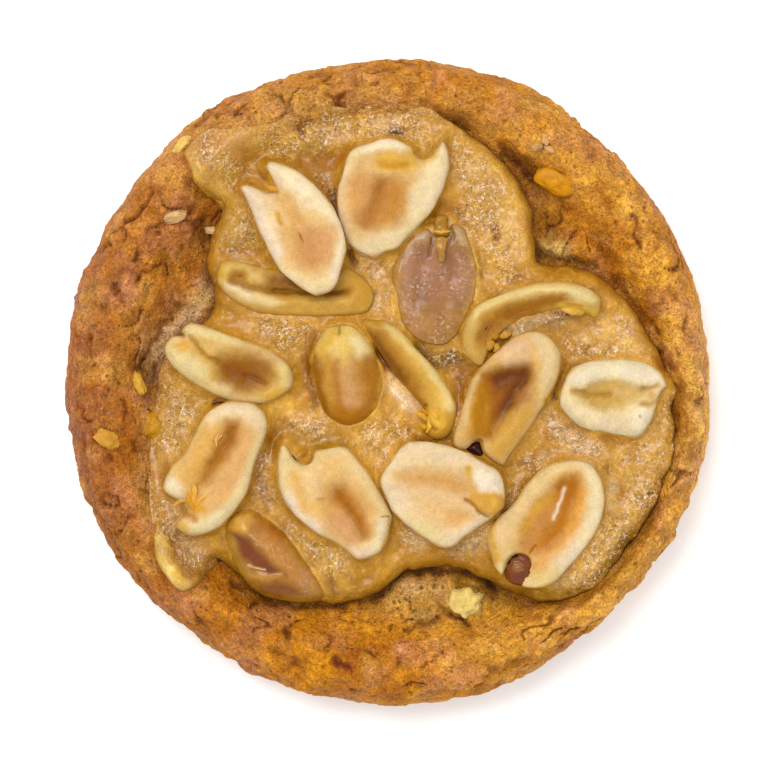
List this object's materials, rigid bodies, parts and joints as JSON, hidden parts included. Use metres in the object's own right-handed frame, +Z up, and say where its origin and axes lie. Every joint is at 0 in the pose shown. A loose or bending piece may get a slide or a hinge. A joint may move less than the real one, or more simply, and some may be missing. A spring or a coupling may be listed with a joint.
{
  "type": "peanut praline cookie",
  "caption": "Round baked cookie: a dough case with a raised, rounded rim holds a lobed layer of praline with roasted peanut halves sunk in its top.",
  "frame": {"origin": "middle of the flat underside, on the surface that the cookie rests on", "axes": "+Z up through the thickness; +Y towards the top of the cookie as seen from straight above, +X to the right in that view"},
  "size_m": [0.0699, 0.0703, 0.0154],
  "materials": {
    "baked_dough": "dry crumbly baked crust, matt",
    "praline": "set nut caramel, satin",
    "roasted_peanut": "roasted kernel, waxy satin",
    "peanut_skin": "caramel-coated kernel, satin"
  },
  "bodies": {
    "root": {"dough_case": "baked_dough", "praline": "praline", "peanut_half_01": "roasted_peanut", "peanut_half_02": "roasted_peanut", "peanut_half_03": "roasted_peanut", "peanut_half_04": "roasted_peanut", "peanut_half_05": "roasted_peanut", "peanut_half_06": "peanut_skin", "peanut_half_07": "roasted_peanut", "peanut_half_08": "roasted_peanut", "peanut_half_09": "roasted_peanut", "peanut_half_10": "roasted_peanut", "peanut_half_11": "roasted_peanut", "peanut_half_12": "roasted_peanut", "peanut_half_13": "roasted_peanut", "peanut_half_14": "roasted_peanut", "peanut_half_15": "peanut_skin"}
  },
  "joints": []
}
